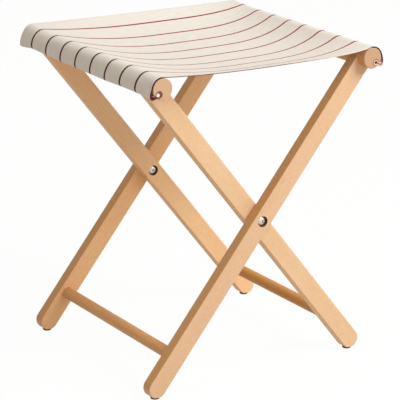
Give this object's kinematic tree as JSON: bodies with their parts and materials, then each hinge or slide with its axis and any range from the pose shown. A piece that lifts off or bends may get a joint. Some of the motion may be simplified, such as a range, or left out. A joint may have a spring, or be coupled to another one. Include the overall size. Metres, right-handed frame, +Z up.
{
  "type": "folding stool",
  "caption": "Low folding stool: two crossed wooden frames pivot on steel bolts, and a striped canvas seat is slung between two round rails.",
  "frame": {"origin": "on the floor, under the middle of the stool as it stands open", "axes": "+Z up; Y along the top rails and the pivots; X across the crossed legs, with the outer frame's rail at +X and the inner frame's rail at -X"},
  "size_m": [0.354, 0.34, 0.4317],
  "materials": {
    "beech_bar": "planed and sanded beech, clear matt lacquer",
    "beech_rod": "turned beech, clear matt lacquer",
    "canvas": "plain woven cotton canvas, off-white with thin dark red stripes",
    "zinc_steel": "bright zinc plated",
    "glide_plastic": "dark moulded nylon",
    "rod_plastic": "white drawn plastic rod"
  },
  "bodies": {
    "outer_frame": {"outer_leg_front": "beech_bar", "outer_leg_back": "beech_bar", "outer_top_rail": "beech_rod", "outer_stretcher": "beech_rod", "outer_dowel_front": "beech_rod", "outer_dowel_back": "beech_rod", "outer_glide_front": "glide_plastic", "outer_glide_back": "glide_plastic", "outer_hem_rod": "rod_plastic", "outer_canvas_hem": "canvas", "pivot_bolt_front": "zinc_steel", "pivot_bolt_back": "zinc_steel", "pivot_nut_front": "zinc_steel", "pivot_nut_back": "zinc_steel", "pivot_washer_front": "zinc_steel", "pivot_washer_back": "zinc_steel", "canvas_seat": "canvas"},
    "inner_frame": {"inner_leg_front": "beech_bar", "inner_leg_back": "beech_bar", "inner_top_rail": "beech_rod", "inner_stretcher": "beech_rod", "inner_dowel_front": "beech_rod", "inner_dowel_back": "beech_rod", "inner_glide_front": "glide_plastic", "inner_glide_back": "glide_plastic", "inner_hem_rod": "rod_plastic", "inner_canvas_hem": "canvas"}
  },
  "joints": [
    {"name": "fold", "type": "hinge", "parent": "outer_frame", "child": "inner_frame", "pos_m": [0, 0, 0.21535], "axis": [0, 1, 0], "range_deg": [0, 70], "deforming": ["canvas_seat"]}
  ]
}
